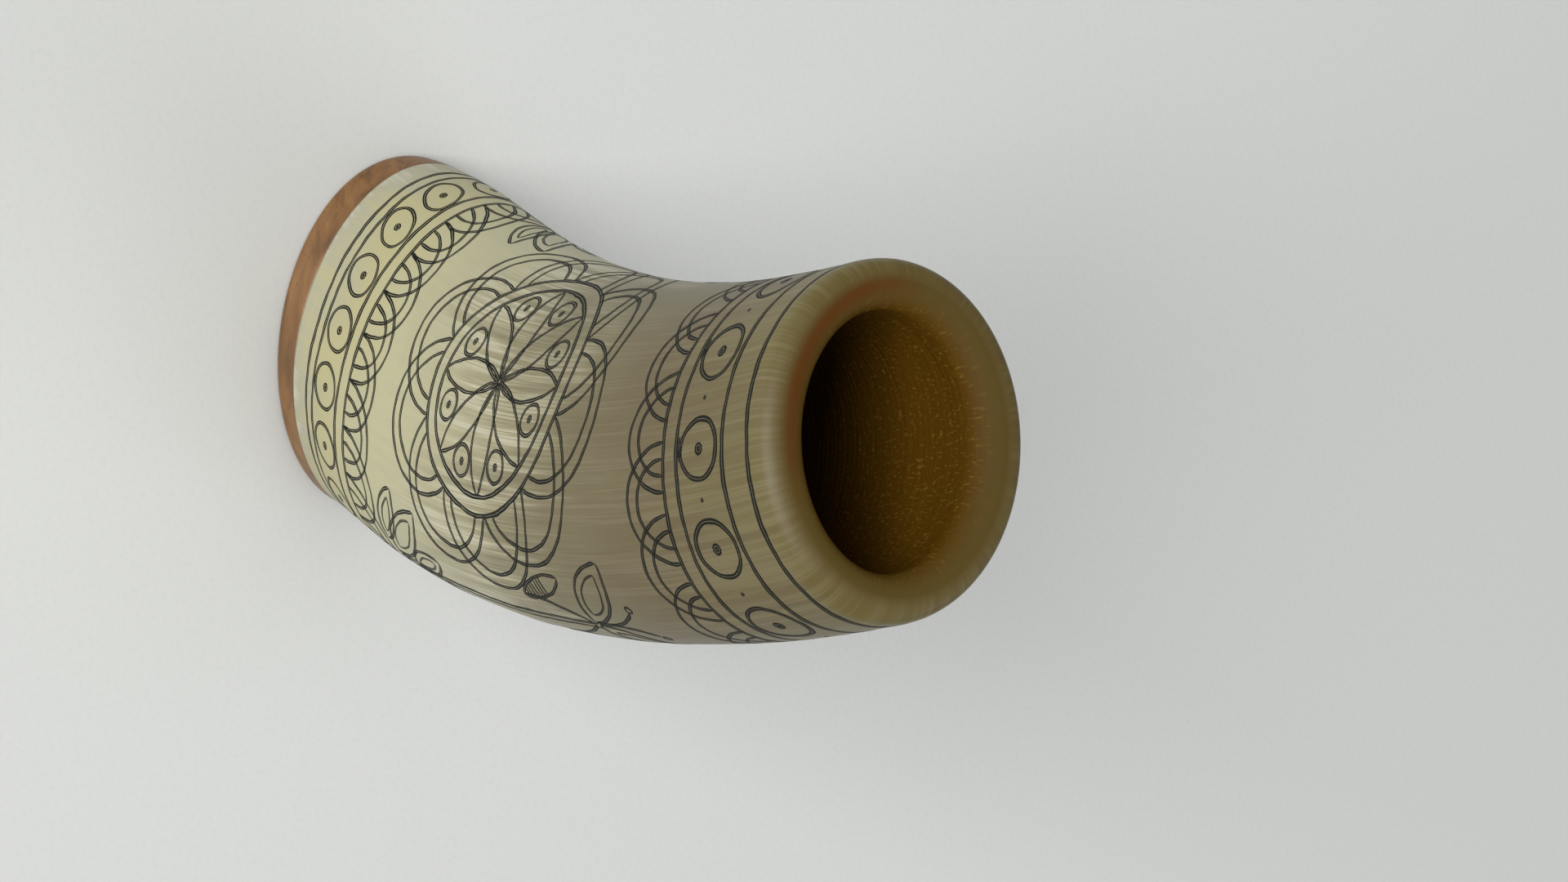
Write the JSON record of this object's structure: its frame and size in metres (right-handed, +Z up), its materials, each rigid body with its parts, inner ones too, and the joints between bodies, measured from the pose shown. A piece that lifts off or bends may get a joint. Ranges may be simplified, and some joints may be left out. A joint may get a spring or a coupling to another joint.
{
  "type": "horn drinking cup",
  "caption": "Curved drinking cup of cattle horn with engraved black-filled bands and rosettes, rounded open mouth and an oval wooden base that it stands on.",
  "frame": {"origin": "centre of the underside of the wooden base", "axes": "+Z up from the base to the mouth, -X from the middle of the base towards the middle of the mouth"},
  "size_m": [0.0755, 0.0604, 0.1843],
  "materials": {
    "horn": "polished cattle horn, cream at the base and olive brown at the mouth, engraved lines filled black",
    "base_wood": "oiled reddish-brown hardwood, satin",
    "glue": "clear amber glue film",
    "sealant": "food-safe sealing resin, amber"
  },
  "bodies": {
    "root": {"horn_body": "horn", "wooden_base": "base_wood", "glue_sleeve": "glue", "sealing_bead": "sealant"}
  },
  "joints": []
}
